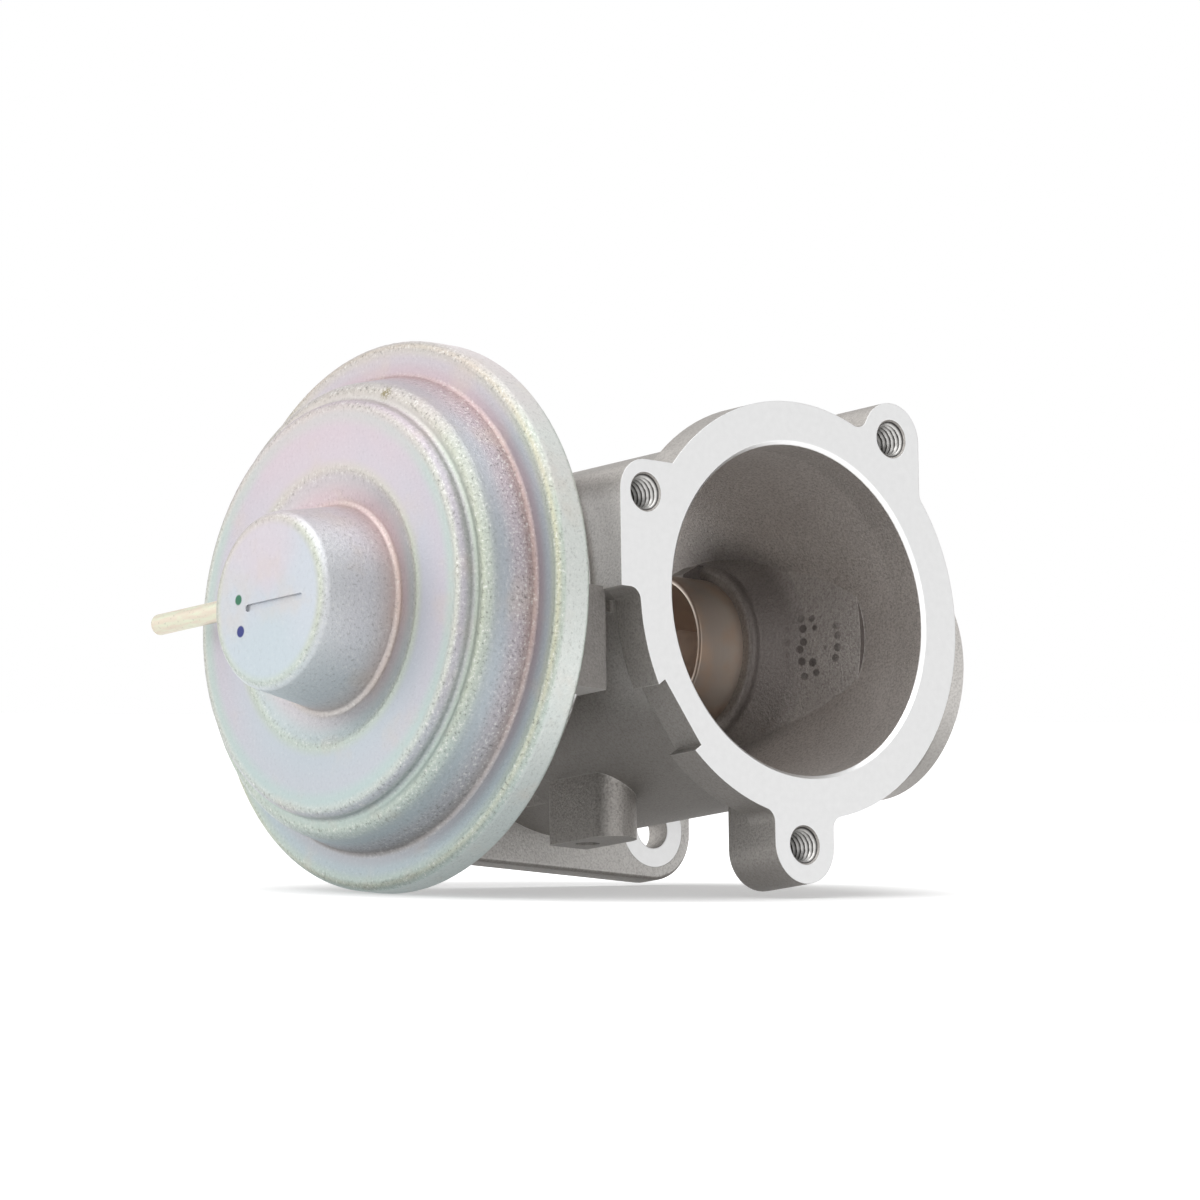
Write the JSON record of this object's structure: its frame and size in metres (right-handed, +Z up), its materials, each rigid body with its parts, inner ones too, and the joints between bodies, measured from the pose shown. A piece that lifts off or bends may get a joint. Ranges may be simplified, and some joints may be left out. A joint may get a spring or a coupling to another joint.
{
  "type": "exhaust gas recirculation valve",
  "caption": "Vacuum-operated exhaust gas recirculation valve: a cast air duct with flanges and a side branch, and a stepped plated vacuum can that lifts a poppet on a stem.",
  "frame": {"origin": "centre of the air inlet bore at the machined inlet face", "axes": "+Y along the air duct towards the rear flange, +X along the valve axis towards the exhaust gas branch, +Z up to the top of the casting"},
  "size_m": [0.135, 0.091, 0.091],
  "materials": {
    "cast_aluminium": "as cast, with machined flange faces",
    "stainless_steel": "turned, heat-tinted",
    "zinc_plate": "pale iridescent zinc plating",
    "spring_steel": "oiled spring wire",
    "sintered_bronze": "matte sintered bronze",
    "seal_rubber": "matte black fluoro rubber",
    "gasket_fibre": "dark pressed fibre"
  },
  "bodies": {
    "valve_body": {"housing": "cast_aluminium", "egr_sleeve": "stainless_steel", "valve_seat": "stainless_steel", "front_shell": "zinc_plate", "rear_shell": "zinc_plate", "vacuum_nipple": "zinc_plate", "can_screws": "zinc_plate", "spring_seat": "zinc_plate", "seal_retainer": "zinc_plate", "return_spring": "spring_steel", "stem_guide": "sintered_bronze", "stem_seal": "seal_rubber", "diaphragm": "seal_rubber", "can_gasket": "gasket_fibre"},
    "lifting_valve": {"valve_stem": "stainless_steel", "valve_disc": "stainless_steel", "stem_shield": "stainless_steel", "rear_plate": "zinc_plate", "front_plate": "zinc_plate", "nut_washer": "zinc_plate", "stem_nut": "zinc_plate"}
  },
  "joints": [
    {"name": "valve_lift", "type": "slide", "parent": "valve_body", "child": "lifting_valve", "axis": [-1, 0, 0], "range_m": [0, 0.005], "stiffness_N_per_m": 2000, "springref_m": -0.004, "deforming": ["return_spring", "diaphragm"]}
  ]
}
